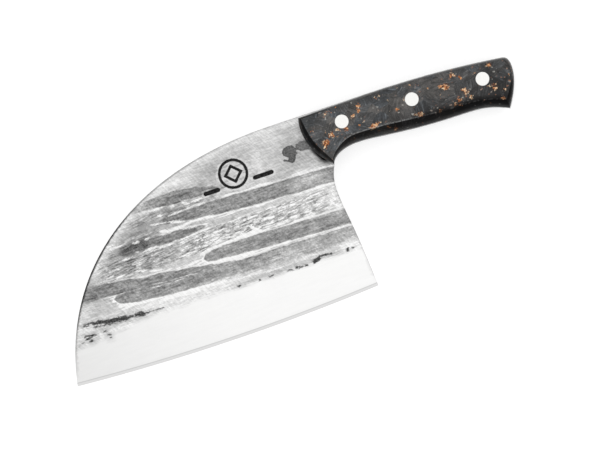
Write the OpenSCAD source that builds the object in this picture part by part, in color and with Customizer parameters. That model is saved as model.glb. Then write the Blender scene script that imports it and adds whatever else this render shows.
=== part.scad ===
// Heavy butcher's cleaver: a forged full-tang blade between two pinned handle scales.
// It lies on its right side. X runs from the tip to the butt, Y from the edge to the
// spine and Z through the thickness. The origin is under the middle of the outline.

/* [Blade] */
// Length of the cutting edge, from tip corner to heel corner
edge_l = 180; // [165:1:195]
// How far the middle of the edge bows below a straight line between its corners
belly = 3.2; // [2:0.1:4]
// Height of the spine above the edge's corners
spine_h = 105.3; // [98:0.1:112]
// Thickness of the steel, in the blade and the tang
stock_t = 4; // [3:0.1:5]
// Height of the ground bevel above the edge
bevel_h = 26; // [18:1:30]
// Thickness left where the fine sharpening bevel starts
behind_edge_t = 0.9; // [0.6:0.1:1.2]
// Height of the fine sharpening bevel
fine_bevel_h = 1.8; // [1:0.1:3]
// Thickness of the very edge
edge_t = 0.2; // [0.1:0.05:0.3]

/* [Handle] */
// Length of the handle, from the top of its front end to the butt
handle_l = 124.4; // [115:0.1:135]
// How far the grip's underside, where the palm lies, is below the level of the spine
grip_h = 28.6; // [26:0.1:32]
// Thickness of one handle scale
scale_t = 9.5; // [8:0.1:11]
// How far the steel of the tang stands proud of the scales all round
tang_proud = 0.4; // [0:0.1:0.8]
// Width of the rounding along the underside of the grip, seen from the side
under_round = 4.6; // [3:0.1:6]
// Width of the rounding along the top of the grip
edge_round = 1.2; // [0.5:0.1:2]
// Width of the rounding along the butt
butt_round = 2; // [0.5:0.1:3]
// Thickness of the epoxy under each scale
bond_t = 0.15; // [0.1:0.05:0.3]

/* [Pins] */
// Diameter of the three handle pins
pin_d = 8; // [6:0.1:9]
// Distance between the pins along the handle
pin_pitch = 41.5; // [38:0.1:43]
// Distance from the handle's front end to the first pin
first_pin = 22.8; // [20:0.1:25]

/* [Hidden] */

$fn = 96;
front_x = edge_l - 13.2;              // top corner of the scales' front end
butt_x = front_x + handle_l;
handle_t = stock_t + 2 * (bond_t + scale_t);
grip_y = spine_h - grip_h;            // underside of the grip, where the palm lies
edge_r = (edge_l * edge_l / 4 + belly * belly) / (2 * belly);  // radius of the edge's arc
pin_drop = [10.7, 11.4, 13.2];        // depth of each pin below the spine
curve_n = 16;                         // straight steps in each short curve
round_n = 5;                          // steps in the rounding of a scale's edge
round_turn = 58;                      // how far that rounding turns, in degrees

// Points along a cubic curve, without its first point.
function curve(p0, p1, p2, p3, n = curve_n) =
    [for (i = [1:n]) let (t = i / n, u = 1 - t)
        u * u * u * p0 + 3 * u * u * t * p1 + 3 * u * t * t * p2 + t * t * t * p3];

// The handle's side view, clockwise round to the top of its front end. g pulls the outline
// in on every side, and k moves it from the scale's foot (0) to its flat face (1).
function handle_outline(g, k = 0) =
    let (top = spine_h - g - k * edge_round,
         low = grip_y + g + k * under_round,
         back = butt_x - g - k * butt_round,
         grip_top = [front_x + 43, top],
         back_top = [back - 3.4, top - 5.1],
         back_side = [back - 0.2, top - 9],
         lip = [back - 8.4 + k * 1.5, grip_y - 5.4 + g + k * 5.1],
         palm = [back - 38, low],
         finger = [front_x + 28.5, low + 3.9],
         front_low = [front_x + 11.4 - k * 0.2, grip_y - 3.6 + g + k * 2],
         front_top = [front_x + 0.1 + k * 1.3, top - 1.5 * g])
    concat(
        [grip_top],
        curve(grip_top, grip_top + [16, 0], [back - 34, top - 0.7], back_top),
        curve(back_top, back_top + [1.8, -0.3], back_side + [-0.4, 2.2], back_side, 5),
        curve(back_side, back_side + [1.1, -8], lip + [5, 8], lip),
        curve(lip, [back - 19, low - 0.5], palm + [15, 0], palm),
        curve(palm, palm - [28, -1.6 * k], finger + [10.5 + k * 8, 0], finger),
        curve(finger, finger - [12 - k * 2.5, 0], front_low + [0.2, 2.4], front_low),
        curve(front_low, [front_x + 0.8 + k * 3.5, grip_y + 5.3 + k * 6],
              [front_x - 2.6 + k * 5.9, grip_y + 18.3 - k * 6.3], front_top));

// The blade and tang in one outline. It runs below the edge, where the bevels cut it.
function blade_outline() =
    let (handle = handle_outline(0),
         last = len(handle) - curve_n - 1)
    concat(
        [[0, -2 * belly], [0, 0]],
        curve([0, 0], [0.076 * edge_l, 0.68 * spine_h], [0.415 * edge_l, spine_h],
              [0.833 * edge_l, spine_h], 3 * curve_n),
        [for (i = [0:last]) handle[i]],
        curve(handle[last], [front_x + 3.9, grip_y - 17.7], [edge_l - 2.4, 50], [edge_l, 0]),
        [[edge_l, -2 * belly]]);

// Moves the drawing, made on the tang's middle plane, to where the part lies.
module placed() {
    translate([-butt_x / 2, -(spine_h - belly) / 2, handle_t / 2]) children();
}

// Pin holes, or the pins themselves.
module pin_bar(i, d, length) {
    translate([front_x + first_pin + i * pin_pitch, spine_h - pin_drop[i], -length / 2])
        cylinder(d = d, h = length);
}

module pin_holes() {
    for (i = [0:2]) pin_bar(i, pin_d, handle_t + 2);
}

// Everything that lies inside the bevels: a ring whose rim is ground to the edge.
module bevel_envelope() {
    rim = [[edge_r, edge_t / 2],
           [edge_r - fine_bevel_h, behind_edge_t / 2],
           [edge_r - bevel_h, stock_t / 2],
           [edge_r - 1.5 * bevel_h, stock_t / 2 + (stock_t - behind_edge_t) / 4],
           [edge_r - 2 * spine_h, stock_t / 2 + (stock_t - behind_edge_t) / 4]];
    half_turn = 2 * atan(butt_x / edge_r);
    translate([edge_l / 2, edge_r - belly, 0])
        rotate([0, 0, -90 - half_turn])
            rotate_extrude(angle = 2 * half_turn, $fn = 720)
                polygon(concat(rim, [for (i = [len(rim) - 1:-1:0]) [rim[i][0], -rim[i][1]]]));
}

module blade() {
    color("silver") placed() difference() {
        intersection() {
            translate([0, 0, -stock_t / 2]) linear_extrude(stock_t) polygon(blade_outline());
            bevel_envelope();
        }
        pin_holes();
    }
}

// Epoxy film on one face of the tang; side is 1 on the left face and -1 on the right.
module bond(side) {
    color("dimgray") placed() difference() {
        translate([0, 0, side > 0 ? stock_t / 2 : -stock_t / 2 - bond_t])
            linear_extrude(bond_t) polygon(handle_outline(tang_proud));
        pin_holes();
    }
}

// Inward shift and height of ring i of a scale. The side rises straight for a third of
// the thickness, then rounds over until it meets the flat face at a crisp line.
function ring(i) = let (turn = round_turn * i / round_n)
    [(1 - cos(turn)) / (1 - cos(round_turn)),
     scale_t * (1 + 2 * sin(turn) / sin(round_turn)) / 3];

// A body lofted through the handle's outline, one ring to each [shift, height].
module loft(rings) {
    outlines = [for (r = rings) [for (p = handle_outline(tang_proud, r[0])) [p[0], p[1], r[1]]]];
    n = len(outlines[0]);
    last = len(rings) - 1;
    walls = [for (r = [0:last - 1], i = [0:n - 1])
        [r * n + i, r * n + (i + 1) % n, (r + 1) * n + (i + 1) % n, (r + 1) * n + i]];
    foot = [for (i = [n - 1:-1:0]) i];
    face = [for (i = [0:n - 1]) last * n + i];
    polyhedron([for (o = outlines) each o], concat([foot], walls, [face]));
}

// One scale, standing on the plane z = 0. The loft runs past both of its flat faces.
module scale_body() {
    intersection() {
        loft(concat([[0, -1]], [for (i = [0:round_n + 1]) ring(i)]));
        translate([front_x - handle_l, 0, 0]) cube([3 * handle_l, 2 * spine_h, scale_t]);
    }
}

module left_scale() {
    color("darkslategray") placed() difference() {
        translate([0, 0, stock_t / 2 + bond_t]) scale_body();
        pin_holes();
    }
}

module right_scale() {
    color("darkslategray") placed() difference() {
        mirror([0, 0, 1]) translate([0, 0, stock_t / 2 + bond_t]) scale_body();
        pin_holes();
    }
}

module pin(i) {
    color("gainsboro") placed() pin_bar(i, pin_d, handle_t);
}

blade();
bond(1);  // left_bond
bond(-1);  // right_bond
left_scale();
right_scale();
pin(0);  // front_pin
pin(1);  // middle_pin
pin(2);  // rear_pin
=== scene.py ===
"""The looks of a heavy forged butcher's cleaver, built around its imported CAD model.

The faces are drawn in millimetres on the side view: x runs from the tip corner of the
cutting edge towards the butt, and y from the edge's corners towards the spine.
"""

import math

import bmesh
import bpy
import numpy as np
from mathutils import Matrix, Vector
from mathutils.geometry import delaunay_2d_cdt


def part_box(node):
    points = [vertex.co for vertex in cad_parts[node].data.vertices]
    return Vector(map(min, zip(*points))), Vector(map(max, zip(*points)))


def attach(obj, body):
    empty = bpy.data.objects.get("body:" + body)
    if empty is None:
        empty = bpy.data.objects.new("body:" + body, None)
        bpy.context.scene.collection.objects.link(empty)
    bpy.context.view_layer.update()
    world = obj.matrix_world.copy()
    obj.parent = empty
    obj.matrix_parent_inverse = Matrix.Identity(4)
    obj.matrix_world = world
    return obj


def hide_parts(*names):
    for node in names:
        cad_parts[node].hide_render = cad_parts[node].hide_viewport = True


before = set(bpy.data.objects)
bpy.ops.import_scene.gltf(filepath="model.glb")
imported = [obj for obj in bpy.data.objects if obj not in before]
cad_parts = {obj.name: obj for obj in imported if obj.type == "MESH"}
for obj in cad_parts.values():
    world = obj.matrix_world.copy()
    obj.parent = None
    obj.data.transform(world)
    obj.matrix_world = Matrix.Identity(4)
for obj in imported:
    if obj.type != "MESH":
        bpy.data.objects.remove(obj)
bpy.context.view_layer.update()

MM = 0.001

# Sizes in millimetres
FINE_BEVEL = 1.8        # width of the sharpening bevel
EDGE_T = 0.2            # thickness of the very edge
BEHIND_EDGE_T = 0.9     # thickness where the sharpening bevel starts
CHAMFER = 0.45          # broken corner round the spine, the heel and the tang
GROOVE_DEPTH = 0.4      # depth of the ground grooves in the forged face
DASH_HEIGHT = 0.025     # how far a hammered dash stands up from the forged face
PIN_R = 4               # radius of a handle pin
PIN_BREAK = 0.15        # broken corner of a handle pin
PIN_DOME = 0.02         # how far the face of a pin falls from its middle to its rim

SCALE_TURN = 58         # how far the rounding of a scale turns, in degrees
NEAR_SEED, FAR_SEED = 10, 500       # where the random fields of each face start
LATTICE = 128           # cells in one side of the random lattice
GAMMA = 2.2             # display brightness to linear light


# ---------------------------------------------------------------- loops of points

def rim(node, wanted):
    """The longest loop of points round the faces of a CAD node that wanted() picks."""
    mesh = bmesh.new()
    mesh.from_mesh(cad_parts[node].data)
    bmesh.ops.remove_doubles(mesh, verts=mesh.verts, dist=0.005 * MM)
    mesh.verts.ensure_lookup_table()
    sides = set()
    for face in mesh.faces:
        if wanted(face.normal):
            corner = [v.index for v in face.verts]
            sides.update(zip(corner, corner[1:] + corner[:1]))
    following = {a: b for a, b in sorted(sides) if (b, a) not in sides}
    loops = []
    while following:
        start, here = following.popitem()
        loop = [start]
        while here != start:
            loop.append(here)
            here = following.pop(here)
        loops.append(loop)
    return np.array([mesh.verts[i].co[:2] for i in max(loops, key=len)])


def unit(v):
    return v / np.linalg.norm(v, axis=-1, keepdims=True)


def ahead_of(loop):
    """The direction of each side of a closed loop."""
    return unit(np.roll(loop, -1, 0) - loop)


def corners(loop, sharp=20):
    """Which points of a closed loop are sharp corners."""
    ahead = ahead_of(loop)
    return (ahead * np.roll(ahead, 1, 0)).sum(1) < math.cos(math.radians(sharp))


def refine(loop, sharp, counts):
    """A closed loop with smooth points added on its sides. The sharp points stay corners."""
    ahead = ahead_of(loop)
    behind = np.roll(ahead, 1, 0)
    smooth = unit(ahead + behind)
    leaving = np.where(sharp[:, None], ahead, smooth)
    arriving = np.roll(np.where(sharp[:, None], behind, smooth), -1, 0)
    ends = np.roll(loop, -1, 0)
    points = []
    for a, b, m, n, count in zip(loop, ends, leaving, arriving, counts):
        size = np.linalg.norm(b - a)
        for t in np.arange(count) / count:
            points.append((2 * t**3 - 3 * t**2 + 1) * a + (t**3 - 2 * t**2 + t) * size * m
                          + (3 * t**2 - 2 * t**3) * b + (t**3 - t**2) * size * n)
    return np.array(points)


def steps(loop, size):
    """How many steps of about that size each side of a closed loop takes."""
    return np.maximum(1, np.ceil(np.linalg.norm(np.roll(loop, -1, 0) - loop, axis=1) / size)).astype(int)


def inset(loop, widths):
    """A counter-clockwise loop with each side moved inward by its own width."""
    ahead = ahead_of(loop)
    inward = np.stack([-ahead[:, 1], ahead[:, 0]], 1)
    before, width_before = np.roll(inward, 1, 0), np.roll(widths, 1)
    cross = before[:, 0] * inward[:, 1] - before[:, 1] * inward[:, 0]
    mitred = np.stack([width_before * inward[:, 1] - widths * before[:, 1],
                       widths * before[:, 0] - width_before * inward[:, 0]], 1)
    straight = unit(before + inward) * (widths + width_before)[:, None] / 2
    sharp = np.abs(cross) > 0.3
    return loop + np.where(sharp[:, None], mitred / np.where(sharp, cross, 1)[:, None], straight)


def clearance(points, loop):
    """How far each point lies inside a closed loop, negative outside it."""
    nearest = np.full(len(points), np.inf)
    inside = np.zeros(len(points), bool)
    for a, b in zip(loop, np.roll(loop, -1, 0)):
        side = b - a
        along = np.clip((points - a) @ side / (side @ side), 0, 1)
        nearest = np.minimum(nearest, np.linalg.norm(points - a - along[:, None] * side, axis=1))
        if a[1] != b[1]:
            crosses = (a[1] > points[:, 1]) != (b[1] > points[:, 1])
            inside ^= crosses & (points[:, 0] < a[0] + (points[:, 1] - a[1]) * side[0] / side[1])
    return np.where(inside, nearest, -nearest)


def circle(centre, radius, count=72):
    turn = np.arange(count) * 2 * math.pi / count
    return centre + radius * np.stack([np.cos(turn), np.sin(turn)], 1)


def grid(low, high, step_x, step_y):
    """Staggered rows of points."""
    x, y = np.meshgrid(np.arange(low[0], high[0], step_x), np.arange(low[1], high[1], step_y))
    x[1::2] += step_x / 2
    return np.stack([x.ravel(), y.ravel()], 1)


def triangulate(loops, holes, points):
    """Points and triangles inside loops[0], and which points are on it. All loops are edges."""
    placed = np.concatenate(loops + holes + [points])
    edges, first = [], 0
    for loop in loops + holes:
        n = len(loop)
        edges += [(first + i, first + (i + 1) % n) for i in range(n)]
        first += n
    flat, _, faces, origin, _, _ = delaunay_2d_cdt([Vector(p) for p in placed], edges, [], 1, 1e-6)
    flat, faces = np.array(flat), np.array(faces)
    middle = flat[faces].mean(1)
    open_ = np.zeros(len(faces), bool)
    for hole in holes:
        open_ |= clearance(middle, hole) > 0
    on_rim = np.array([any(i < len(loops[0]) for i in ids) for ids in origin])
    return flat, faces[~open_], on_rim


def open_edges(faces):
    """The directed edges that only one triangle has."""
    sides = {(int(f[i]), int(f[(i + 1) % 3])) for f in faces for i in range(3)}
    return np.array(sorted(s for s in sides if (s[1], s[0]) not in sides))


# ---------------------------------------------------------------- random fields

def noise(x, y, cell_x, cell_y, seed):
    """Smooth random values from -1 to 1 that change over cells of that size."""
    lattice = np.random.default_rng(seed).uniform(-1, 1, (LATTICE, LATTICE))
    u, v = x / cell_x + 1000, y / cell_y + 1000
    i, j = np.floor(u).astype(int), np.floor(v).astype(int)
    u, v = u - i, v - j
    u, v = u * u * (3 - 2 * u), v * v * (3 - 2 * v)
    at = lambda a, b: lattice[(i + a) % LATTICE, (j + b) % LATTICE]
    return (at(0, 0) * (1 - u) + at(1, 0) * u) * (1 - v) + (at(0, 1) * (1 - u) + at(1, 1) * u) * v


def ease(value, low, high):
    """0 below low, 1 above high and smooth between."""
    t = np.clip((value - low) / (high - low), 0, 1)
    return t * t * (3 - 2 * t)


def bump_at(x, y, centre, radii):
    """A round hill of height 1."""
    return np.exp(-((x - centre[0]) / radii[0]) ** 2 - ((y - centre[1]) / radii[1]) ** 2)


# ---------------------------------------------------------------- the blade's side view

CAD_BLADE = rim("blade", lambda normal: normal.z > 0.5)
TIP = CAD_BLADE[CAD_BLADE[:, 0].argmin()]
BLADE_LOW, BLADE_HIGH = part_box("blade")
SCALE_LOW, SCALE_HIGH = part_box("left_scale")
STOCK_T = (BLADE_HIGH.z - BLADE_LOW.z) / MM
BELLY = (TIP[1] - BLADE_LOW.y) / MM
MIDDLE_Z = (BLADE_LOW.z + BLADE_HIGH.z) / 2


def drawn(points):
    """The frame's metres to the side view's millimetres."""
    return (points - TIP) / MM


OUTLINE = drawn(CAD_BLADE)
EDGE_L = OUTLINE[np.abs(OUTLINE[:, 1]) < 0.05][:, 0].max()
EDGE_R = (EDGE_L ** 2 / 4 + BELLY ** 2) / (2 * BELLY)
HANDLE_X = (SCALE_LOW.x - TIP[0]) / MM
HANDLE = drawn(rim("left_scale", lambda normal: normal.z < -0.99)[::-1])
PINS = [drawn(np.array([(a.x + b.x) / 2, (a.y + b.y) / 2]))
        for a, b in (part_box(n) for n in ("front_pin", "middle_pin", "rear_pin"))]


def above_edge(x, y):
    """Distance from the cutting edge, measured square to it."""
    return EDGE_R - np.hypot(x - EDGE_L / 2, y + BELLY - EDGE_R)


def along(x, knots):
    """A smooth curve through (x, value) knots."""
    at, value = np.array(knots, float).T
    i = np.clip(np.searchsorted(at, x) - 1, 0, len(at) - 2)
    return value[i] + (value[i + 1] - value[i]) * ease(x, at[i], at[i + 1])


# The long grooves ground into the forged face: (x, middle y, half width) knots.
GROOVES = [
    [(59, 83.4, 0), (64, 84, 1.6), (74, 84.7, 2.9), (88, 84.4, 3.4), (98, 83.4, 2.9), (107, 81.8, 1.6),
     (116, 80.6, 0)],
    [(71, 72.9, 0), (80, 72.9, 2.0), (96, 72.2, 3.4), (110, 71, 4.0), (140, 69.7, 4.2), (160, 68.7, 4.3),
     (190, 67.4, 3.6)],
    [(45, 63.2, 0), (50, 63.6, 2.0), (57, 64.2, 2.9), (75, 63.5, 2.6), (86, 63.2, 2.2), (93, 63, 1.3),
     (98, 63, 0)],
    [(-5, 46.5, 4.4), (20, 47, 3.9), (30, 46.5, 3.6), (40, 45.6, 3.3), (60, 43.8, 2.6), (80, 41.9, 1.9),
     (90, 40.2, 1.7), (100, 38.4, 1.6), (112, 36.4, 2.2), (126, 35.3, 2.9), (190, 34, 2.7)],
    [(35.8, 39.9, 0), (38.2, 39.2, 2.3), (42, 38.6, 3.0), (50, 38, 3.3), (70, 36.3, 3.8), (90, 35, 3.5),
     (120, 33.9, 4.0), (150, 33.5, 3.8), (190, 33, 3.4)],
    [(91, 45.8, 0), (93.2, 45.9, 2.2), (98, 46.2, 3.1), (110, 46, 3.7), (130, 45, 4.0), (160, 43.6, 4.3),
     (190, 42.4, 4.5)],
]

# How far above the edge the polished bevel reaches.
BEVEL_TOP = [(0, 19.5), (16, 21), (32, 24), (48, 26.5), (64, 28), (92, 28), (110, 26.8), (140, 26.2),
             (160, 25), (180, 23)]

# Streaks of black fire scale left in low spots: (from, to, half width).
FIRE_SCALE = [
    ((15, 32), (24, 31.1), 0.35), ((20, 31), (28, 29.8), 0.8), ((27, 29.6), (38, 28.4), 1.15),
    ((36, 28.2), (42.6, 27.9), 0.6), ((44.6, 27.8), (48.6, 27.1), 1.0), ((28, 27.6), (38, 26.8), 0.1),
    ((50, 27.2), (60.5, 26.9), 0.15),
    ((20, 28.8), (31, 27.4), 0.2), ((14, 31.3), (17, 30.6), 0.2), ((45, 29), (48, 28.8), 0.3),
    ((13, 25.4), (19, 24.5), 0.4), ((13.5, 23.6), (16.5, 23.8), 0.4), ((15, 22), (16.4, 21.9), 0.4),
    ((10.5, 22.6), (11.6, 22.8), 0.15), ((24.2, 24.7), (26, 24.6), 0.2), ((25.4, 22.2), (27.2, 22.1), 0.2),
    ((26.6, 20.5), (27.2, 20.5), 0.2),
    ((105, 24.9), (105.6, 24.9), 0.6), ((117, 24.3), (117.3, 24.3), 0.45), ((123, 24.5), (125, 24.5), 0.25),
    ((133.6, 24.4), (137, 23.9), 0.25), ((139, 24.5), (141.4, 23.9), 0.5), ((142, 23.8), (145.4, 23.8), 0.25),
    ((149.8, 24.4), (152.4, 25.1), 1.0), ((153, 26.2), (156, 26.4), 0.3), ((156, 26.2), (160.5, 25.6), 0.25),
    ((169.7, 24.5), (169.9, 25.2), 0.75), ((172.7, 24.9), (173.3, 24.9), 0.3),
]

# Thin bright wisps and soft dark streaks across the ground face, in the same form.
WISPS = [
    ((68.7, 73.4), (78, 72.1), 0.55), ((78, 72.1), (87.3, 69.3), 0.65), ((72.3, 68.6), (78, 66.9), 0.8),
    ((76, 67.4), (84, 67.2), 1.0), ((84, 67.3), (91, 68), 0.9), ((91, 68), (104, 67.6), 0.7),
    ((71, 66.3), (79, 66.2), 0.5), ((85.1, 65.7), (94.4, 64.8), 0.55), ((55.5, 66.8), (59.4, 66.8), 0.7),
    ((62.3, 66.8), (65.5, 66.9), 0.5), ((42, 68.2), (50, 67.6), 0.5), ((69.4, 81.2), (78, 81), 0.5),
    ((73.4, 76.9), (77, 76.9), 0.6), ((79.4, 75.3), (90.9, 75.9), 0.5), ((90.9, 75.9), (101, 76), 0.75),
    ((89.4, 79.8), (93, 78.4), 0.7), ((94.4, 78.7), (101, 78.9), 0.7), ((82.3, 80.1), (85.1, 80), 0.5),
    ((59.4, 60.5), (68, 61), 0.6), ((68.7, 59.8), (77.3, 59.6), 0.5), ((44.4, 59.3), (53, 59.8), 0.45),
    ((55.5, 61.4), (57.3, 61.3), 0.5), ((84.4, 60.4), (93, 61.2), 0.5), ((93, 60.9), (101, 61.6), 0.5),
    ((121.5, 55), (124, 52.8), 0.8), ((133.3, 52.8), (135.4, 54), 0.7), ((136.9, 51.4), (141, 50.6), 0.7),
    ((60, 48.6), (68, 47.4), 0.6), ((120, 27.6), (133, 27.3), 0.35), ((160, 26.7), (176, 26), 0.3),
    ((97, 51.8), (106, 52.4), 0.5), ((103, 28.9), (120, 28.2), 0.3), ((124, 33), (135, 32.7), 0.15),
    ((46, 39.9), (84, 38.6), 0.1),
]
SHADES = [
    ((46.5, 64.5), (57, 64.3), 1.1), ((52.3, 69.1), (56.6, 69.3), 0.2), ((54.4, 71.6), (61.6, 72), 0.7),
    ((76.6, 82.3), (81, 82.1), 0.2), ((82, 84.8), (96, 83.7), 1.0), ((78, 77.9), (84, 77.4), 0.6),
    ((89, 70.8), (95, 70.2), 0.8), ((98.3, 58.5), (111.9, 59.9), 0.2),
    ((105.4, 56), (110.4, 56.7), 0.2), ((110.6, 59.2), (111.6, 61), 0.4), ((120.6, 57.6), (121.4, 61.5), 0.3),
    ((129.7, 54.6), (134, 54.9), 0.4), ((136, 52), (147, 53.5), 0.3), ((142.6, 50.6), (148, 51.3), 0.3),
    ((162, 30.9), (170, 31), 0.1), ((170, 31.3), (177, 32), 0.1), ((122, 34.8), (134, 34.6), 0.1),
    ((14, 45.4), (34, 44.3), 0.5), ((48, 58.4), (60, 57.6), 0.5), ((62, 55.8), (74, 54.9), 0.5),
    ((33, 56.6), (44, 56.9), 0.3), ((172.6, 76.3), (176, 74.8), 0.5), ((20, 42.4), (32, 41.6), 0.1),
    ((150, 46.5), (176, 45), 0.6), ((164, 41), (177, 40), 0.9),
]

# Where the hammer left patches of short dashes: a lower and an upper edge, in (x, y) knots.
HAMMERED = [
    ([(84, 50.2), (100, 51.8), (178, 50)], [(84, 60.5), (100, 63), (178, 61.5)]),
    ([(30, 50.5), (50, 49.5), (84, 48.4)], [(30, 57), (50, 61), (84, 61)]),
    ([(38, 67), (60, 67.5), (98, 74.8)], [(38, 69), (52, 74), (70, 80.5), (98, 80)]),
]

# A dark stain near the handle, as streaks again.
STAIN = [
    ((155.9, 87.9), (156.9, 87.5), 3.4), ((157.1, 85), (155.7, 83.4), 1.6),
    ((152.4, 83.9), (155.4, 82.4), 0.6), ((163, 88.7), (166, 88.3), 2.6),
    ((166, 88.2), (171, 87.6), 2.3), ((160.8, 90.5), (162.8, 90.4), 0.6),
]

# The plain touchmark: a ring round a lozenge, between two bars.
MARK = (122, 86.3)
MARK_R = 8.6
MARK_LINE = 1.5
MARK_LOZENGE = 4.6
MARK_BARS = [((103.5, 80.3), (111, 80.3), 1.2), ((133, 80.3), (143, 80.3), 1.2)]
MARK_DEPTH = 0.3

# How dark the painted dark reflection on the broken corner of the spine is: (x, darkness).
SPINE = [(0, 0.05), (8, 0.3), (12, 0.65), (20, 0.95), (30, 1), (50, 0.95), (62, 0.5), (80, 0.35), (110, 0.25),
         (135, 0.15), (165, 0.1)]


def groove_field(x, y, seed):
    """Signed distance into the nearest groove, in millimetres."""
    wander = 0.35 * noise(x, y, 14, 5, seed) + 0.15 * noise(x, y, 3, 2, seed + 1)
    best = np.full(x.shape, -20.0)
    for knots in GROOVES:
        at, middle, half = zip(*knots)
        reach = np.sqrt(along(x, [(a, h * h) for a, h in zip(at, half)]))
        if knots[0][2] == 0:
            reach = reach - 3 * ease(-x, -at[0], -at[0] + 3)
        if knots[-1][2] == 0:
            reach = reach - 3 * ease(x, at[-1], at[-1] + 3)
        best = np.maximum(best, reach - np.abs(y + wander - along(x, list(zip(at, middle)))))
    return best


def streak_field(x, y, streaks, taper=0):
    """Signed distance into the nearest of some streaks, with round ends or tapered ones."""
    points = np.stack([x, y], 1)
    best = np.full(x.shape, -20.0)
    for start, end, half in streaks:
        a, side = np.array(start, float), np.subtract(end, start)
        t = np.clip((points - a) @ side / (side @ side), 0, 1)
        reach = half - taper * (2 * t - 1) ** 2
        best = np.maximum(best, reach - np.linalg.norm(points - a - t[:, None] * side, axis=1))
    return best


def dashes(seed):
    """The hammered dashes, in stacked patches, as streaks."""
    random = np.random.default_rng(seed)
    made = []
    for lower, upper in HAMMERED:
        x = lower[0][0]
        while x < lower[-1][0]:
            y, tilt = along(x, lower) + random.uniform(0, 1.5), random.uniform(-0.02, 0.16)
            while y < along(x, upper):
                reach = random.uniform(0.8, 2.8)
                at = x + random.uniform(-1.6, 1.6)
                rise = reach * random.normal(tilt, 0.05)
                made.append(((at - reach, y - rise), (at + reach, y + rise), random.uniform(-0.3, 0.45)))
                y += random.uniform(1.1, 1.9)
            x += random.uniform(4, 8)
    return made


def mark_field(x, y):
    """Signed distance into the touchmark's lines: a ring round a lozenge, and two bars."""
    dx, dy = x - MARK[0], y - MARK[1]
    ring = MARK_LINE / 2 - np.abs(np.hypot(dx, dy) - MARK_R + MARK_LINE / 2)
    lozenge = MARK_LINE / 2 - np.abs(np.abs(dx) + np.abs(dy) - MARK_LOZENGE) / math.sqrt(2)
    return np.maximum.reduce([ring, lozenge, streak_field(x, y, MARK_BARS)])


def soft_field(x, y):
    """How far the edges of the grooves fade out, in millimetres."""
    soft = 2.2 * ease(-x, -78, -52) * ease(y, 56, 62) + 1.4 * ease(y, 76, 80) * ease(x, 98, 112)
    return 0.15 + soft + 1.2 * ease(-x, -34, -22) + 2.0 * ease(-y, -36, -32) * ease(x, 84, 104)


def lip_field(x, y):
    """How bright the painted highlight on the raised lips of the grooves is."""
    over = lambda value, low, high: ease(value, low, low + 4) * ease(-value, -high, -high + 4)
    lip = 0.3 + 0.6 * over(y, 69, 80) * ease(x, 108, 120) * (1 - 0.4 * ease(x, 128, 142))
    lip += 0.45 * over(y, 60, 70) * ease(x, 70, 78)
    lip += 0.85 * over(y, 37, 54) * ease(x, 80, 88) * (1 - 0.35 * ease(x, 118, 145))
    lip += 0.6 * over(y, 37, 46) * bump_at(x, y, (100, 41), (14, 6)) + 0.5 * bump_at(x, y, (118, 51), (24, 2))
    lip += 0.45 * over(y, 40, 55) * over(x, 32, 100) + 0.9 * over(y, 26, 43) * over(x, 28, 92)
    lip -= 0.6 * ease(-y, -37, -32) * ease(x, 88, 104) - 0.4 * bump_at(x, y, (40, 35.5), (8, 3))
    return lip - 0.3 * ease(-x, -32, -22)


def chatter_field(x, y):
    """Where the hammer left short dashes, whose brightness is painted reflection."""
    over = lambda value, low, high: ease(value, low, low + 3) * ease(-value, -high, -high + 3)
    chatter = over(y, 48.5, 63) * ease(x, 82, 98) * (1 - 0.35 * ease(x, 150, 170))
    chatter += 0.75 * over(y, 48, 62) * over(x, 30, 96) + 0.5 * over(y, 73.5, 81) * over(x, 52, 112)
    return chatter + 0.45 * over(y, 60, 72) * over(x, 32, 74) + 0.12
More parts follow.
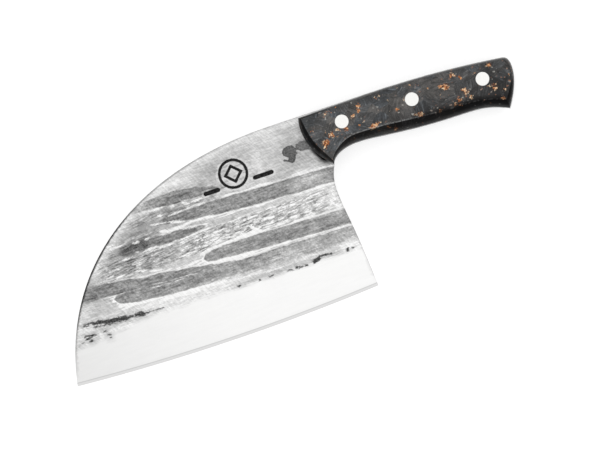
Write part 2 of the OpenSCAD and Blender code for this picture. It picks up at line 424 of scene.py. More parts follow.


# Where the forged face is brighter or darker: (x, y, x size, y size, how much). The two dark patches at
# (173.8, 77.4) and (176, 70.5) are painted shadow beside the handle's front end.
TONE_AND_SHADE_PATCHES = [
    (78, 77, 12, 3.5, -0.09), (99, 77, 10, 3, -0.11), (64, 71, 9, 4, -0.06), (52, 66, 8, 2.5, -0.06),
    (72, 51.5, 16, 3, -0.06), (30, 51, 9, 4, -0.05), (116, 58, 12, 4, -0.05), (165, 51, 12, 3.5, -0.07),
    (155, 46.5, 9, 3, 0.08), (22, 41, 8, 4, 0.06), (42, 42, 6, 2, -0.05), (66, 35, 8, 3, 0.06),
    (58, 31, 10, 2.5, 0.05), (168, 32, 9, 3, -0.06), (122, 26, 26, 2.5, -0.05), (165, 22, 14, 3, -0.04),
    (122, 102, 14, 3, 0.04), (84, 86, 12, 3, 0.05), (154, 71, 16, 3.5, 0.05), (165, 71, 7, 3.5, 0.09),
    (102, 42, 6, 2.5, 0.05), (13, 36, 7, 6, 0.04), (125, 57, 6, 3, -0.16), (86, 66.5, 10, 2.5, -0.05),
    (86, 53, 8, 5, -0.06), (173.8, 77.4, 3.2, 3, -0.32), (176, 70.5, 2.6, 2.5, -0.22), (150, 98, 14, 4, 0.03),
    (54, 66, 7, 2, -0.05), (144, 56, 6, 4, -0.05), (38, 42, 6, 3, -0.04),
    (164, 103, 14, 3, 0.05), (35, 37.5, 5, 3, 0.06), (65, 37.5, 5, 2.5, 0.05), (105, 42.5, 7, 2.5, 0.05),
    (125, 42.5, 6, 2.5, 0.05), (45, 62.5, 5, 3, 0.06), (125, 51, 6, 2.5, 0.05), (165, 46.5, 6, 2.5, 0.05),
    (84, 46.5, 16, 3, 0.06), (100, 50, 45, 2.6, 0.09), (28, 60, 6, 4, 0.12), (90, 90, 14, 3, 0.08),
    (130, 59, 30, 5, 0.06), (137, 87, 4, 7, 0.1), (52, 60, 16, 6, -0.14), (60, 72, 18, 6, -0.06),
    (112, 92, 16, 5, -0.07), (75, 78, 28, 3, -0.04), (108, 72, 16, 4, 0.06), (14, 37, 9, 6, 0.08),
    (130, 47, 26, 2.5, 0.05), (93, 38, 11, 5, 0.06), (66, 84, 8, 4, 0.09), (96, 92, 8, 3, 0.08),
    (86, 31.5, 12, 2, 0.07), (64, 52, 8, 3, -0.08), (55, 68, 9, 4, -0.05), (103, 71, 8, 4, 0.05),
]


def tone_and_shade_field(x, y, seed):
    """Brightness of the forged face between its grooves, with painted shadow beside the handle's front end.
    """
    tone = 0.77 + 0.03 * noise(x, y, 25, 9, seed) + 0.02 * noise(x, y, 8, 4, seed + 1)
    tone += 0.05 * ease(y, 90, 100) * ease(x, 90, 115)
    tone += 0.14 * ease(x, 160, 172) * ease(-y, -66, -56)
    tone += 0.14 * ease(x, 142, 158) * bump_at(x, y, (160, 68), (60, 6))
    tone += 0.13 * ease(-y, -36, -31) - 0.13 * ease(-y, -22, -14) * ease(-x, -30, -20)
    tone += 0.14 * ease(x, 84, 106) * bump_at(x, y, (130, 35), (90, 5))
    tone -= 0.10 * ease(x, 156, 168) * bump_at(x, y, (172, 37), (14, 8))
    tone -= 0.05 * ease(x, 145, 155) * ease(y, 76, 80)
    tone += 0.06 * ease(y, 100, 104) * ease(x, 110, 124)
    tone -= 0.10 * ease(x, 96, 112) * bump_at(x, y, (150, 25.5), (90, 2.6))
    for x0, y0, rx, ry, more in TONE_AND_SHADE_PATCHES:
        tone += more * bump_at(x, y, (x0, y0), (rx, ry))
    return tone


def face_of(x, y, side, outer):
    """Half thickness and the named fields of one face of the blade. side is 1 or -1."""
    seed = NEAR_SEED if side > 0 else FAR_SEED
    inside = clearance(np.stack([x, y], 1), outer)
    near_rim = ease(-inside, -1.2, -0.6)
    light_rim = 0.13 * ease(-inside, -8, -1) * ease(x, 26, 34) * ease(-x, -125, -95) * ease(y, 50, 62)
    rise = above_edge(x, y)
    handle = clearance(np.stack([x, y], 1), HANDLE)
    covered = ease(handle, -0.3, 0.6)
    # painted shadow: the blade is darkened beside the front end of the handle
    shadow = 0.22 * ease(handle, -2.8, 0.3) * ease(-y, -88, -78)
    shadow += 0.42 * ease(handle, -1.7, -0.2) * ease(-y, -94, -87) * ease(y, 75, 80)
    shadow *= ease(-x, -181, -177)     # not on the tang's rim under the grip
    if side < 0:                       # the far face was ground by hand too, a little differently
        x, y = x * 0.97 + 6, y + 1.2 * noise(x, y, 60, 40, seed)
    groove = groove_field(x, y, seed)
    fire = streak_field(x, y, FIRE_SCALE) + 0.25 * noise(x, y, 1.6, 0.5, seed + 4)
    stain = streak_field(x, y, STAIN) + 0.6 * noise(x, y, 1.8, 1.3, seed + 5)
    mark = mark_field(x, y)
    if side < 0:                       # the stain and the touchmark are on the near face only
        stain, mark = np.full((2, len(x)), -20.0)
    dash = streak_field(x, y, dashes(seed + 11), 0.1)
    bevel_top = along(x, BEVEL_TOP) + 0.5 * noise(x, y, 9, 30, seed + 6)
    bevel_top += 0.25 * noise(x, y, 2.5, 30, seed + 7)
    forged = STOCK_T / 2 - 0.04 - GROOVE_DEPTH * ease(groove, -1.1, 1.0)
    forged -= 0.05 * (1 + noise(x, y, 9, 5, seed + 8)) + 0.012 * noise(x, y, 1.9, 0.9, seed + 9)
    forged += DASH_HEIGHT * ease(dash, -0.5, 0.3) * ease(-groove, -0.5, 1)
    forged -= MARK_DEPTH * ease(mark, -0.25, 0.2)
    steepness = (STOCK_T / 2 - 0.1 - BEHIND_EDGE_T / 2) / (bevel_top - FINE_BEVEL)
    bevel = BEHIND_EDGE_T / 2 + (rise - FINE_BEVEL) * steepness
    bevel -= 0.05 * ease(fire, -0.6, 0.3) * ease(rise, FINE_BEVEL, 12)
    half = np.minimum(forged, bevel)
    fine = EDGE_T / 2 + (BEHIND_EDGE_T - EDGE_T) / 2 * rise / FINE_BEVEL
    half = np.where(rise < FINE_BEVEL, fine, half)
    half = half + (STOCK_T / 2 - half) * covered
    fields = {"groove": groove, "fire_scale": fire, "stain": stain, "mark": mark,
              "polish": bevel_top - rise, "fine_bevel": FINE_BEVEL - rise,
              "tone": tone_and_shade_field(x, y, seed + 10) + light_rim - shadow,
              "lip": lip_field(x, y), "soft": soft_field(x, y),
              "chatter": chatter_field(x, y), "dash": dash,
              "wisp": streak_field(x, y, WISPS, 0.4), "shade": streak_field(x, y, SHADES, 0.6),
              "spine": near_rim * along(x, SPINE) * ease(rise, 3, 8)}
    return half, fields


# ---------------------------------------------------------------- meshes

def mesh_object(name, points, faces, fields=None, sharp=30):
    """A welded, smooth-shaded object. points are in the frame's metres."""
    mesh = bpy.data.meshes.new(name)
    mesh.from_pydata([tuple(p) for p in points], [], [tuple(map(int, f)) for f in faces])
    for field, values in (fields or {}).items():
        layer = mesh.attributes.new(field, "FLOAT", "POINT")
        layer.data.foreach_set("value", np.asarray(values, np.float32))
    body = bmesh.new()
    body.from_mesh(mesh)
    bmesh.ops.remove_doubles(body, verts=body.verts, dist=0.0005 * MM)
    bmesh.ops.dissolve_degenerate(body, edges=body.edges, dist=0.0005 * MM)
    body.to_mesh(mesh)
    body.free()
    mesh.shade_smooth()
    mesh.set_sharp_from_angle(angle=math.radians(sharp))
    made = bpy.data.objects.new(name, mesh)
    bpy.context.scene.collection.objects.link(made)
    return made


def blade_points(outer, inner):
    """Points inside the blade: close rows on the forged face, wide ones elsewhere."""
    low, high = outer.min(0), outer.max(0)
    close = grid(low, (HANDLE_X + 14, high[1]), 0.85, 0.43)
    close = close[above_edge(*close.T) > 17.5]
    wide = grid(low, (HANDLE_X + 20, high[1]), 3, 1.3)
    wide = wide[above_edge(*wide.T) < 17]
    tang = grid((HANDLE_X + 15, low[1]), high, 4, 3)
    tang = tang[above_edge(*tang.T) > 20]
    points = np.concatenate([close, wide, tang])
    points = points[clearance(points, inner) > 0.25]
    for centre in PINS:
        points = points[np.linalg.norm(points - centre, axis=1) > PIN_R + 0.5]
    return points


def make_blade():
    """The forged blade and its tang, one closed mesh with both faces worked."""
    sharp = corners(OUTLINE)
    outer = refine(OUTLINE, sharp, steps(OUTLINE, 1.2))
    outer = np.clip(outer, OUTLINE.min(0), OUTLINE.max(0))
    on_edge = (np.abs(above_edge(*outer.T)) < 0.05) & (outer[:, 1] < 0.05)
    cutting = on_edge & np.roll(on_edge, -1)
    inner = inset(outer, np.where(cutting, FINE_BEVEL, CHAMFER))
    holes = [circle(c, PIN_R) for c in PINS]
    flat, faces, on_rim = triangulate([outer, inner], holes, blade_points(outer, inner))
    x, y = flat.T
    n = len(flat)
    points, fields = [], {}
    for side in (1, -1):
        half, made = face_of(x, y, side, outer)
        broken = on_rim & (above_edge(x, y) > 0.1)
        half = half - np.where(broken, np.minimum(0.35, half * 0.5), 0)
        z = MIDDLE_Z + side * half * MM
        points.append(np.stack([TIP[0] + x * MM, TIP[1] + y * MM, z], 1))
        for name, values in made.items():
            fields.setdefault(name, []).append(values)
    walls = [(b, a, a + n, b + n) for a, b in open_edges(faces)]
    faces = [*map(list, faces), *([c + n, b + n, a + n] for a, b, c in faces), *walls]
    return mesh_object("forged_blade", np.concatenate(points), faces,
                       {k: np.concatenate(v) for k, v in fields.items()}, sharp=22)


# Copper flakes that show in a scale's face: (x, y, radius), and how pale each is.
COPPER = [
    (177.6, 85.8, 2.1, 0.3), (176.3, 83.6, 1.2, 0.5), (181.6, 89.2, 1.8, 0.4), (190.3, 89.6, 1.6, 0.1),
    (185.8, 90.8, 1.2, 0.8), (200.9, 99.8, 1.8, 0.5), (200.6, 97.4, 1.2, 0.4), (196.5, 95.5, 1.2, 0.6),
    (205.2, 86.0, 2.0, 0.3), (207.6, 86.8, 1.5, 0.2), (209.8, 87.1, 1.0, 0.9), (221.4, 91.2, 1.2, 0.8),
    (233.4, 84.3, 1.8, 0.4), (230.4, 84.8, 1.2, 0.6), (249.0, 95.4, 1.4, 0.5), (251.4, 94.6, 2.2, 0.3),
    (256.4, 99.6, 1.6, 0.8), (260.4, 97.0, 1.6, 0.0), (260.7, 89.2, 1.5, 0.8), (261.5, 87.4, 1.2, 0.7),
    (253.6, 83.2, 1.4, 0.3), (256.2, 84.8, 1.5, 0.1), (256.4, 82.2, 1.2, 0.3), (263.1, 84.4, 1.1, 1.0),
    (278.4, 98.4, 1.5, 0.4), (278.0, 87.0, 1.3, 0.4), (277.8, 84.8, 1.4, 0.4), (217.5, 81.0, 1.6, 0.2),
    (213.5, 83.2, 1.1, 0.1), (280.4, 78.0, 1.4, 0.2), (172.4, 94.6, 1.0, 0.5), (244.2, 82.6, 1.0, 0.2),
    (257.6, 103, 1.0, 0.1), (182.1, 101.6, 0.9, 1.0), (188.8, 103.2, 0.6, 0.8), (201.7, 90.4, 1.0, 1.0),
    (198.8, 89.2, 0.6, 1.0), (212, 101, 0.7, 1.0), (214.2, 101.8, 0.6, 0.9), (218.3, 97.5, 0.6, 0.9),
    (226.7, 95.4, 0.7, 0.8), (217.5, 91.3, 0.5, 0.7), (232.9, 101.6, 0.9, 0.7), (179.2, 92.1, 0.9, 1.0),
    (184.6, 87.5, 0.6, 1.0), (241.8, 97.4, 0.8, 1.1), (269.4, 96.4, 0.6, 0.8), (275, 87.2, 0.8, 1.1),
    (192.9, 83.4, 0.8, 0.4), (243.8, 85, 0.7, 1.0), (287.4, 89.6, 0.5, 1.1), (247.5, 91, 0.5, 1.1),
    (283, 82.4, 0.9, 0.6), (224.8, 103.6, 0.6, 0.2), (208, 82.6, 0.9, 0.1),
]


def copper_field(x, y, mirrored):
    """Signed distance into the nearest copper flake, and its paleness."""
    best, pale = np.full(x.shape, -5.0), np.zeros(x.shape)
    for fx, fy, radius, light in COPPER:
        if mirrored:                   # the hidden scale is cut from another part of the block
            fx, fy = HANDLE_X + (SCALE_HIGH.x - TIP[0]) / MM - fx, fy * 0.8 + 18
        field = radius - np.hypot((x - fx) / 1.15, y - fy)
        pale = np.where(field > best, light, pale)
        best = np.maximum(best, field)
    return best, pale


def make_scale(name, node, side):
    """One handle scale, lofted from its foot to its flat face, with its pin holes."""
    foot = rim(node, lambda normal: side * normal.z < -0.99)
    face = rim(node, lambda normal: side * normal.z > 0.99)
    foot, face = (drawn(loop if side * turn > 0 else loop[::-1]) for loop, turn in ((foot, -1), (face, 1)))
    face = np.roll(face, -corner_start(face), 0)
    foot = np.roll(foot, -corner_start(foot), 0)
    sharp, counts = corners(foot), steps(foot, 1.1)
    foot, face = refine(foot, sharp, counts), refine(face, sharp, counts)
    low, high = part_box(node)
    thick = (high.z - low.z) / MM
    turn = np.linspace(0, math.radians(SCALE_TURN - 2), 13)
    top = math.radians(SCALE_TURN)
    profile = [(0, 0), (0, thick / 6)] + [
        ((1 - math.cos(a)) / (1 - math.cos(top)), thick * (1 + 2 * math.sin(a) / math.sin(top)) / 3)
        for a in turn]
    profile.append((1.02, thick))
    base = low.z if side > 0 else high.z
    place = lambda xy, z: np.column_stack([TIP + xy * MM, np.full(len(xy), base + side * z * MM)])
    n = len(foot)
    points = [place(foot + k * (face - foot), z) for k, z in profile]
    forward, below = unit(face - foot).T
    # painted shade: the rounded sides are darkened, most where they face forward and down
    dark = 0.55 + 0.45 * np.maximum(ease(forward, 0.3, 0.8), 0.9 * ease(below, 0.4, 0.9))
    sides = [dark * (0.78 + 0.22 * ease(k, 0.2, 0.5)) * (k < 1) for k, _ in profile]
    glint = ease(below, 0.4, 0.9) * ease(-foot[:, 0], -245, -215)
    glint *= ease(foot[:, 0], HANDLE_X + 10, HANDLE_X + 20)
    glints = [glint * (r == len(profile) - 1) for r in range(len(profile))]
    quads = [(r * n + i, r * n + (i + 1) % n, (r + 1) * n + (i + 1) % n, (r + 1) * n + i)
             for r in range(len(profile) - 1) for i in range(n)]
    holes = [circle(c, PIN_R) for c in PINS]
    edge = foot + profile[-1][0] * (face - foot)
    inner = grid(edge.min(0), edge.max(0), 0.7, 0.6)
    inner = inner[clearance(inner, edge) > 0.4]
    for centre in PINS:
        inner = inner[np.linalg.norm(inner - centre, axis=1) > PIN_R + 0.4]
    flat, tris, on_rim = triangulate([edge], holes, inner)
    first = sum(map(len, points))
    points.append(place(flat, thick))
    nearest = np.array([((edge - p) ** 2).sum(1).argmin() for p in flat])
    # painted dark reflection on a strip of the flat face along its lower edge, towards the butt
    fade = ease(-np.linalg.norm(flat - edge[nearest], axis=1), -3.6, 0.2) * ease(below[nearest], 0.3, 0.8)
    sides.append(0.8 * fade * ease(flat[:, 0], 218, 240) * ease(-flat[:, 0], -287, -276))
    glints.append(np.where(on_rim, glint[nearest], 0))
    quads += [tuple(first + f) for f in tris]
    flat, tris, _ = triangulate([foot], holes, np.zeros((0, 2)))
    first = sum(map(len, points))
    points.append(place(flat, 0.0))
    sides.append(np.zeros(len(flat)))
    glints.append(np.zeros(len(flat)))
    quads += [tuple(first + f[::-1]) for f in tris]
    for hole in holes:
        first = sum(map(len, points))
        count = len(hole)
        points += [place(hole, 0.0), place(hole, thick)]
        sides += [np.zeros(count)] * 2
        glints += [np.zeros(count)] * 2
        quads += [(first + (i + 1) % count, first + i, first + count + i, first + count + (i + 1) % count)
                  for i in range(count)]
    if side < 0:
        quads = [q[::-1] for q in quads]
    points = np.concatenate(points)
    x, y = drawn(points[:, :2]).T
    copper, pale = copper_field(x, y, side < 0)
    return mesh_object(name, points, quads,
                       {"side": np.concatenate(sides), "glint": np.concatenate(glints), "copper": copper,
                        "pale": pale}, sharp=24)


def corner_start(loop):
    """Where a handle outline starts: the top corner of its front end."""
    score = loop[:, 0] - loop[:, 1]
    return int(score.argmin())


def make_pin(name, node):
    """A steel pin ground flush, with broken corners and faintly domed ends."""
    low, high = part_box(node)
    centre = np.array([(low.x + high.x) / 2, (low.y + high.y) / 2])
    radius, half = (high.x - low.x) / 2 / MM, (high.z - low.z) / 2 / MM
    end = [(r * (radius - PIN_BREAK), half - PIN_DOME * r * r) for r in (0.3, 0.6, 0.85, 1)]
    profile = end + [(radius, half - PIN_BREAK)]
    profile += [(r, -z) for r, z in reversed(profile)]
    count = 96
    points = [np.column_stack([circle(centre, r * MM, count), np.full(count, (low.z + high.z) / 2 + z * MM)])
              for r, z in profile]
    points.append(np.array([[*centre, high.z], [*centre, low.z]]))
    faces = [(r * count + (i + 1) % count, r * count + i,
              (r + 1) * count + i, (r + 1) * count + (i + 1) % count)
             for r in range(len(profile) - 1) for i in range(count)]
    top, last = len(profile) * count, (len(profile) - 1) * count
    faces += [(top, i, (i + 1) % count) for i in range(count)]
    faces += [(top + 1, last + (i + 1) % count, last + i) for i in range(count)]
    return mesh_object(name, np.concatenate(points), faces, sharp=35)


# ---------------------------------------------------------------- materials

class Finish:
    """A procedural material, built node by node. Numbers and sockets both work as inputs."""

    def __init__(self, name):
        self.material = bpy.data.materials.new(name)
        self.material.use_nodes = True
        self.tree = self.material.node_tree
        self.shader = self.tree.nodes["Principled BSDF"]
        place = self.add("ShaderNodeTexCoord").outputs["Object"]
        self.at = self.vector("MULTIPLY", self.vector("SUBTRACT", place, (*TIP, MIDDLE_Z)), (1 / MM,) * 3)

    def add(self, kind, inputs=(), **settings):
        node = self.tree.nodes.new(kind)
        for key, value in settings.items():
            setattr(node, key, value)
        for key, value in dict(inputs).items():
            self.put(node.inputs[key], value)
        return node

    def put(self, socket, value):
        if isinstance(value, bpy.types.NodeSocket):
            self.tree.links.new(value, socket)
        elif hasattr(socket.default_value, "__len__") and not hasattr(value, "__len__"):
            socket.default_value = [value] * 3 + [1] * (len(socket.default_value) - 3)
        elif hasattr(value, "__len__"):
            socket.default_value = [*value, 1][:len(socket.default_value)]
        else:
            socket.default_value = value

    def math(self, operation, a, b):
        return self.add("ShaderNodeMath", {0: a, 1: b}, operation=operation).outputs[0]

    def sum(self, *terms):
        total = terms[0]
        for term in terms[1:]:
            total = self.math("ADD", total, term)
        return total

    def times(self, *terms):
        total = terms[0]
        for term in terms[1:]:
            total = self.math("MULTIPLY", total, term)
        return total

    def vector(self, operation, a, b):
        return self.add("ShaderNodeVectorMath", {0: a, 1: b}, operation=operation).outputs[0]

    def turned(self, degrees, scale):
        """The place in millimetres, turned about z and then scaled."""
        node = self.add("ShaderNodeMapping", {"Vector": self.at, "Rotation": (0, 0, math.radians(degrees))})
        return self.vector("MULTIPLY", node.outputs[0], scale)

    def noise(self, at, scale=1.0, detail=2.0, rough=0.5, twist=0.0):
        return self.add("ShaderNodeTexNoise", {"Vector": at, "Scale": scale, "Detail": detail,
                                               "Roughness": rough, "Distortion": twist}).outputs["Fac"]

    def field(self, name):
        return self.add("ShaderNodeAttribute", attribute_name=name).outputs["Fac"]

    def ease(self, value, low, high, start=0.0, end=1.0):
        return self.add("ShaderNodeMapRange", {0: value, 1: low, 2: high, 3: start, 4: end},
                        interpolation_type="SMOOTHSTEP").outputs[0]

    def mix(self, share, a, b):
        return self.add("ShaderNodeMix", {0: share, 2: a, 3: b}, data_type="FLOAT").outputs[0]

    def tint(self, share, a, b):
        return self.add("ShaderNodeMix", {0: share, 6: a, 7: b}, data_type="RGBA").outputs[2]

    def cells(self, at, scale):
        """Cells of random shape: a Voronoi texture, and its cells' random colour split in three."""
        texture = self.add("ShaderNodeTexVoronoi", {"Vector": at, "Scale": scale, "Randomness": 1.0},
                           feature="F1")
        return texture, self.add("ShaderNodeSeparateXYZ", {0: texture.outputs["Color"]}).outputs

    def even(self, value):
        """The same value in all three channels."""
        return self.add("ShaderNodeCombineXYZ", {0: value, 1: value, 2: value}).outputs[0]

    def grey(self, value, tint=(1, 1, 1)):
        """A colour from a display brightness."""
        linear = self.math("POWER", self.math("MAXIMUM", value, 0.0), GAMMA)
        return self.vector("MULTIPLY", self.even(linear), tint)

    def bumps(self, height, distance):
        node = self.add("ShaderNodeBump", {"Height": height, "Distance": distance * MM, "Strength": 1.0})
        self.put(self.shader.inputs["Normal"], node.outputs[0])

    def set(self, **inputs):
        for key, value in inputs.items():
            self.put(self.shader.inputs[key.replace("_", " ")], value)


def blade_steel():
    """Forged steel: dark ground grooves, a scaly face with hammer chatter, a polished bevel."""
    f = Finish("blade_steel")
    brushed = f.noise(f.turned(0, (0.2, 1.15, 1)), 1, 3, 0.6)
    streaks = f.noise(f.turned(-2, (0.07, 0.55, 1)), 1, 3, 0.55)
    mottle = f.noise(f.turned(3, (0.22, 0.5, 1)), 1, 4, 0.6)
    grain = f.noise(f.at, 0.95, 3, 0.7)
    ragged = f.noise(f.turned(0, (0.4, 1.0, 1)), 1, 4, 0.7)

    # hammered face between the grooves, with rows of short dashes: raised a little in the mesh, their
    # brightness is painted reflection
    relief = f.sum(0.42, f.times(0.5, f.field("chatter")))
    face = f.sum(f.times(0.50, f.sum(mottle, -0.5)), f.times(0.60, f.sum(brushed, -0.5)),
                 f.times(0.34, f.sum(streaks, -0.5)), f.times(0.42, f.sum(grain, -0.5)))
    # the forged face's own brightness, with the painted shadow beside the handle in it
    face = f.sum(f.field("tone"), f.times(relief, face))
    frayed = f.noise(f.turned(-6, (0.6, 2.3, 1)), 1, 4, 0.65)
    dash = f.sum(f.field("dash"), f.times(2.2, f.sum(frayed, -0.5)))
    faint = f.times(f.field("chatter"), f.ease(mottle, 0.36, 0.56, 0.4, 1.0))
    chatter = f.times(faint, f.ease(dash, -0.75, 0.45))
    gap = f.times(faint, f.ease(dash, -1.5, -0.9), f.ease(dash, -0.3, -0.8))
    hatch = f.noise(f.turned(-8, (0.17, 1.25, 1)), 1, 3, 0.6)
    hatch = f.sum(f.times(0.10, f.ease(hatch, 0.54, 0.66)), f.times(-0.21, f.ease(hatch, 0.47, 0.37)))
    face = f.sum(face, f.times(0.25, chatter), f.times(-0.08, gap), f.times(f.field("chatter"), hatch))

    # grooves, and the painted highlight on the lips round them
    groove = f.sum(f.field("groove"), f.times(1.5, f.sum(ragged, -0.5)))
    soft = f.field("soft")
    cut = f.ease(groove, f.times(-1.0, f.sum(0.15, soft)), f.sum(0.1, f.times(0.7, soft)))
    floor = f.sum(0.578, f.times(0.34, f.sum(mottle, -0.5)), f.times(0.55, f.sum(brushed, -0.5)),
                  f.times(0.50, f.sum(grain, -0.5)), f.times(0.75, f.sum(f.field("tone"), -0.77)))
    wide = f.times(f.field("lip"), f.sum(0.6, f.times(2.5, f.ease(streaks, 0.34, 0.68))))
    lip = f.times(f.ease(groove, -0.2, -0.6), f.ease(f.sum(groove, wide), -0.5, 0.4))
    lip = f.times(lip, f.ease(f.sum(f.field("lip"), f.times(1.6, f.sum(brushed, -0.5))), 0.1, 0.7))
    value = f.mix(cut, face, floor)
    value = f.mix(f.times(lip, 0.9), value, 0.985)
    shade = f.ease(f.sum(f.field("shade"), f.times(2.2, f.sum(frayed, -0.5))), -0.9, 0.6)
    value = f.sum(value, f.times(-0.10, shade))
    wisp = f.ease(f.sum(f.field("wisp"), f.times(2.6, f.sum(frayed, -0.48))), -0.4, 0.4)
    value = f.mix(f.times(wisp, f.ease(mottle, 0.36, 0.5, 0.6, 0.95)), value, 0.985)
    crossed = f.noise(f.turned(60, (0.16, 1.0, 1)), 1, 2, 0.5)
    value = f.sum(value, f.times(0.24, f.sum(crossed, -0.5)))

    # stain near the handle
    across = f.add("ShaderNodeSeparateXYZ", {0: f.at}).outputs[0]
    stain = f.sum(f.field("stain"), f.times(2.2, f.sum(ragged, -0.5)))
    tarnish = f.sum(f.ease(stain, 0.1, 1.5, 0.36, 0.40), f.ease(across, 158, 162, 0, 0.07),
                    f.times(0.5, f.sum(grain, -0.5)))
    value = f.mix(f.ease(stain, -0.25, 0.2), value, tarnish)

    # polished bevel
    worn = f.noise(f.turned(0, (0.11, 1.3, 1)), 1, 4, 0.62)
    polish = f.sum(f.field("polish"), f.times(5.5, f.sum(worn, -0.5)))
    shine = f.ease(polish, -1.6, 1.9)
    # painted reflection: the polished bevel is made brighter from the tip towards the heel
    bright = f.sum(f.ease(across, -20, 110, 0.935, 0.985), f.times(0.03, f.sum(streaks, -0.5)))
    value = f.mix(shine, value, bright)
    torn = f.mix(f.ease(across, 66, 100), f.noise(f.turned(4, (0.5, 1.7, 1)), 1, 4, 0.75),
                 f.noise(f.turned(4, (0.9, 1.9, 1)), 1, 3, 0.7))
    fire = f.sum(f.field("fire_scale"), f.times(f.ease(across, 66, 100, 3.4, 2.6), f.sum(torn, -0.51)))
    soot = f.times(f.ease(fire, -0.5, 0.3), f.ease(f.field("fire_scale"), -1.6, -0.6))
    haze = f.ease(f.sum(f.field("fire_scale"), f.times(6, f.sum(worn, -0.5))), -3.6, 0.2)
    haze = f.times(haze, f.ease(across, 66, 46))
    value = f.sum(value, f.times(-0.09, haze))
    value = f.mix(f.times(0.92, soot), value, f.sum(0.19, f.times(0.7, f.sum(grain, -0.47))))

    # fine bevel, touchmark and the painted dark reflection on the broken corner of the spine
    fine = f.ease(f.field("fine_bevel"), -0.12, 0.05)
    line = f.times(f.ease(f.field("fine_bevel"), -0.5, -0.1), f.ease(f.field("fine_bevel"), 0.35, 0.05))
    value = f.mix(fine, value, 0.915)
    value = f.sum(value, f.times(-0.10, line))
    mark = f.sum(f.field("mark"), f.times(0.7, f.sum(grain, -0.5)))
    burr = f.times(f.ease(mark, -1.8, -0.5), f.ease(mottle, 0.4, 0.55))
    value = f.mix(f.times(0.6, burr), value, 0.93)
    value = f.mix(f.ease(mark, -0.16, 0.12), value, f.sum(0.17, f.times(0.4, f.sum(grain, -0.5))))
    value = f.mix(f.times(f.field("spine"), 0.9), value, 0.16)

    rough = f.sum(f.mix(shine, f.mix(cut, 0.36, 0.44), 0.24), f.times(0.12, brushed), f.times(0.2, soot))
    coarse = f.sum(f.times(0.9, brushed), f.times(0.7, grain), f.times(0.8, mottle))
    height = f.sum(f.times(f.mix(shine, 1.0, 0.12), coarse), f.times(0.35, chatter))
    f.set(Base_Color=f.grey(value, (1, 0.998, 0.993)), Metallic=f.mix(soot, 1.0, 0.4), Roughness=rough)
    f.bumps(height, 0.03)
    return f.material


def marbled_resin():
    """Black forged fibre in resin, with copper flakes, pale specks and painted shade that darkens its rounded
    sides.
    """
    f = Finish("marbled_resin")
    warped = f.vector("ADD", f.at, f.vector("MULTIPLY", f.add("ShaderNodeTexNoise", {
        "Vector": f.at, "Scale": 0.16, "Detail": 2.0}).outputs["Color"], (5, 5, 2)))
    _, chips = f.cells(f.vector("MULTIPLY", warped, (0.14, 0.19, 0.3)), 1.0)
    turn = f.times(chips[0], 6.283)
    turned = f.add("ShaderNodeVectorRotate", {"Vector": f.at, "Angle": turn}, rotation_type="Z_AXIS")
    fibre = f.noise(f.vector("MULTIPLY", turned.outputs[0], (0.14, 1.1, 1)), 1, 4, 0.68)
    cloud = f.noise(f.at, 0.12, 3, 0.55)
    grit = f.noise(f.at, 1.1, 3, 0.7)
    place = f.add("ShaderNodeSeparateXYZ", {0: f.at}).outputs
    flat = f.sum(0.283, f.times(0.08, f.sum(chips[1], -0.3)), f.times(0.44, f.sum(fibre, -0.5)),
                 f.times(0.30, f.sum(cloud, -0.5)), f.times(0.22, f.sum(grit, -0.5)),
                 f.times(-0.055, f.ease(place[0], 205, 235), f.ease(place[1], 98, 88)),
                 f.times(-0.05, f.ease(place[1], 98, 103)), f.times(-0.04, f.ease(place[0], 180, 170)),
                 f.times(-0.10, f.ease(place[0], 255, 284)),
                 f.times(-0.05, f.ease(place[1], 91, 86), f.ease(place[0], 184, 190)))
    hair = f.times(f.ease(fibre, 0.58, 0.68), f.ease(chips[2], 0.35, 0.7))
    flat = f.sum(flat, f.times(0.12, hair))
    warm, cool = f.grey(flat, (1.06, 1, 0.95)), f.grey(flat, (0.90, 1, 1.10))
    base = f.tint(f.ease(chips[2], 0.2, 0.9), warm, cool)

    _, shards = f.cells(warped, 1.25)
    ragged = f.noise(f.at, 0.9, 4, 0.65, 0.6)
    copper = f.ease(f.sum(f.field("copper"), f.times(4.2, f.sum(ragged, -0.58)),
                          f.times(0.9, f.sum(shards[1], -0.6))), -0.1, 0.25)
    lit = f.sum(shards[0], f.times(0.5, f.sum(f.field("pale"), -0.35)), f.times(0.8, f.sum(ragged, -0.5)))
    metal = f.add("ShaderNodeValToRGB", {0: lit})
    ramp = metal.color_ramp
    ramp.elements[0].position, ramp.elements[0].color = 0.18, (0.07, 0.03, 0.02, 1)
    ramp.elements[1].position, ramp.elements[1].color = 1.0, (0.80, 0.62, 0.42, 1)
    for stop, colour in ((0.42, (0.36, 0.12, 0.04, 1)), (0.72, (0.66, 0.29, 0.11, 1))):
        ramp.elements.new(stop).color = colour

    speck, specks = f.cells(f.vector("MULTIPLY", warped, (0.5, 0.6, 0.5)), 1.0)
    small = f.times(f.ease(f.sum(speck.outputs["Distance"], f.times(0.9, f.sum(grit, -0.5))), 0.34, 0.18),
                    f.ease(specks[0], 0.52, 0.66), f.ease(cloud, 0.4, 0.55))
    pale = f.tint(f.ease(specks[1], 0.3, 0.7), (0.50, 0.22, 0.12, 1), (0.62, 0.60, 0.55, 1))

    colour = f.tint(f.times(small, 0.55), base, pale)
    colour = f.tint(copper, colour, metal.outputs[0])
    colour = f.tint(f.times(0.55, f.field("glint"), f.ease(grit, 0.35, 0.6)), colour, (0.42, 0.42, 0.42))
    # painted shade: the rounded sides and a strip of the flat face are darkened and lose most of their shine
    side = f.field("side")
    colour = f.vector("MULTIPLY", colour, f.even(f.mix(side, 1.0, 0.10)))
    f.set(Base_Color=colour, Metallic=f.times(0.55, copper, f.sum(1.0, f.times(-1.0, side))),
          Roughness=f.sum(0.34, f.times(0.10, cloud), f.times(0.22, side)),
          Specular_IOR_Level=f.mix(side, 0.42, 0.06))
    f.bumps(f.sum(f.times(0.5, fibre), f.times(0.6, copper), f.times(0.5, ragged)), 0.012)
    return f.material


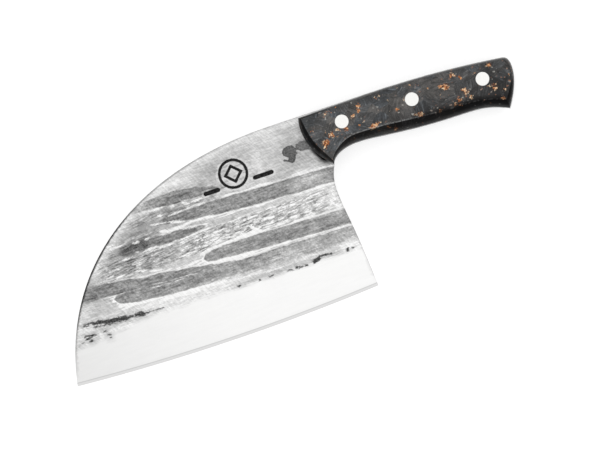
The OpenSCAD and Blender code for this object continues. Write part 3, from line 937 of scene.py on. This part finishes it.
def pin_steel():
    """Bright steel sanded flush with the scales, with fine straight scratches."""
    f = Finish("pin_steel")
    sanded = f.noise(f.turned(12, (0.5, 7.0, 1)), 1, 3, 0.6)
    worn = f.noise(f.at, 0.5, 3, 0.5)
    value = f.sum(0.965, f.times(0.05, f.sum(sanded, -0.5)), f.times(0.03, f.sum(worn, -0.5)))
    f.set(Base_Color=f.grey(value, (1, 0.995, 0.97)), Metallic=1.0,
          Roughness=f.sum(0.26, f.times(0.16, sanded)))
    f.bumps(sanded, 0.006)
    return f.material


def epoxy():
    """A thin dark line of squeezed-out epoxy."""
    f = Finish("epoxy")
    cloud = f.noise(f.at, 0.8, 3, 0.6)
    value = f.sum(0.13, f.times(0.12, f.sum(cloud, -0.5)))
    f.set(Base_Color=f.grey(value, (1, 0.96, 0.9)), Roughness=f.sum(0.35, f.times(0.2, cloud)))
    f.bumps(cloud, 0.01)
    return f.material


def pale_floor():
    """A plain white acrylic table, lit a little from below."""
    f = Finish("pale_floor")
    tooth = f.noise(f.at, 0.02, 3, 0.5)
    value = f.sum(0.8, f.times(0.01, f.sum(tooth, -0.5)))
    f.set(Base_Color=f.grey(value), Roughness=0.9, Specular_IOR_Level=0.1, Emission_Color=(1, 1, 1),
          Emission_Strength=0.62)
    return f.material


# ---------------------------------------------------------------- the object

def dress(made, material, slot, *nodes):
    """Gives an object its material, and lets it stand in for those CAD nodes. slot is not used."""
    made.data.materials.clear()
    made.data.materials.append(material)
    if nodes:
        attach(made, "root")
        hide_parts(*nodes)


steel, resin, pins, glue = blade_steel(), marbled_resin(), pin_steel(), epoxy()
dress(make_blade(), steel, "blade_steel", "blade")
dress(make_scale("left_grip", "left_scale", 1), resin, "marbled_resin", "left_scale")
dress(make_scale("right_grip", "right_scale", -1), resin, "marbled_resin", "right_scale")
for node in ("front_pin", "middle_pin", "rear_pin"):
    dress(make_pin(node + "_steel", node), pins, "pin_steel", node)
for node in ("left_bond", "right_bond"):
    dress(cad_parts[node], glue, "epoxy")


# ---------------------------------------------------------------- floor, light and camera

FLOOR = 4                          # how far the floor reaches each way, in metres
FLOOR_Z = -0.0003                  # just under the cleaver, so that the two never share a plane
floor_mesh = bpy.data.meshes.new("floor")
floor_mesh.from_pydata([(x * FLOOR, y * FLOOR, FLOOR_Z) for x, y in ((-1, -1), (1, -1), (1, 1), (-1, 1))],
                       [], [(0, 1, 2, 3)])
floor = bpy.data.objects.new("floor", floor_mesh)
bpy.context.scene.collection.objects.link(floor)
floor.data.materials.append(pale_floor())


def softbox(name, place, size, strength):
    """A square area light that faces the object. strength is its radiance."""
    light = bpy.data.lights.new(name, "AREA")
    light.shape, light.size = "SQUARE", size
    light.energy = strength * math.pi * size * size
    lamp = bpy.data.objects.new(name, light)
    lamp.location = place
    lamp.rotation_euler = (-Vector(place)).to_track_quat("-Z", "Y").to_euler()
    lamp.visible_camera = False
    bpy.context.scene.collection.objects.link(lamp)


softbox("overhead", (0.3, 0.35, 1.5), 1.5, 0.19)

world = bpy.data.worlds.new("studio")
world.use_nodes = True
bpy.context.scene.world = world
sky = world.node_tree.nodes["Background"]
sky.inputs["Color"].default_value = (1, 1, 1, 1)
sky.inputs["Strength"].default_value = 0.88

TURN = math.radians(18.573)        # how far the cleaver is turned in the picture
AIM = (0.00038, -0.00347)          # where the picture's centre falls
WIDTH = 0.3345                     # what the picture's width spans at the blade
LENS = 300
lens = bpy.data.cameras.new("camera")
lens.lens = LENS
camera = bpy.data.objects.new("camera", lens)
camera.location = (*AIM, MIDDLE_Z + WIDTH * LENS / lens.sensor_width)
camera.rotation_euler = (0, 0, -TURN)
bpy.context.scene.collection.objects.link(camera)
bpy.context.scene.camera = camera
bpy.context.scene.view_settings.view_transform = "Standard"
